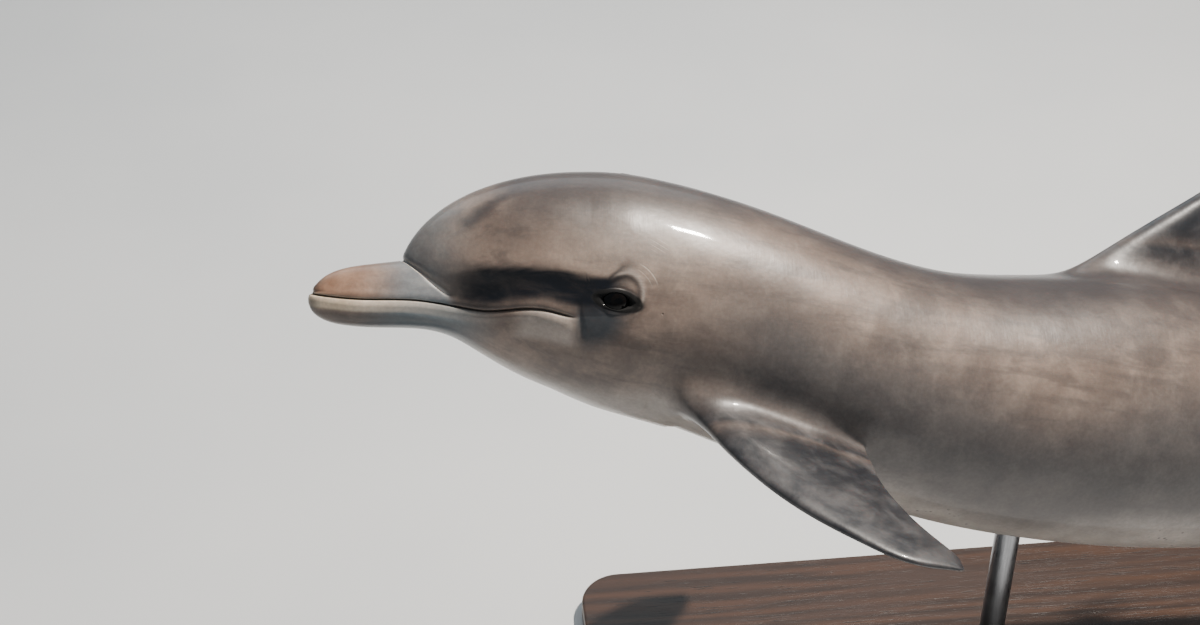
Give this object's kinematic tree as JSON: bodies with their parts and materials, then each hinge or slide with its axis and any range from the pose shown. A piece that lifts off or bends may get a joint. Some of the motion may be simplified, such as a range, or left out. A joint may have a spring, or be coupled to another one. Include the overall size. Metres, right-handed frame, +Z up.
{
  "type": "bottlenose dolphin museum model",
  "caption": "Life-size still model of a slender bottlenose dolphin, nose up and rolled to its right, held on a flat base by two short rods.",
  "frame": {"origin": "centre of the underside of the stand's base", "axes": "+Z up, the nose points towards -X, the animal's left side faces -Y"},
  "size_m": [2.4401, 0.8095, 0.9048],
  "materials": {
    "skin": "smooth wet-looking grey-brown skin, paler below, with fine creases and old scratch lines",
    "fin_skin": "smooth dark grey skin, worn paler at the edges",
    "eye": "clear wet cornea over a near-black brown eye",
    "base_wood": "dark stained wood, satin lacquer",
    "rod_steel": "brushed along its length",
    "flange_steel": "turned, with hexagonal bolt heads"
  },
  "bodies": {
    "root": {"upper_beak": "skin", "lower_jaw": "skin", "melon": "skin", "head": "skin", "chest": "skin", "trunk": "skin", "tail_stock": "skin", "dorsal_fin": "fin_skin", "flipper_left": "fin_skin", "flipper_right": "fin_skin", "fluke_left": "fin_skin", "fluke_right": "fin_skin", "eye_left": "eye", "eye_right": "eye", "stand_base": "base_wood", "stand_rod_front": "rod_steel", "stand_rod_rear": "rod_steel", "stand_flange_front": "flange_steel", "stand_flange_rear": "flange_steel"}
  },
  "joints": []
}
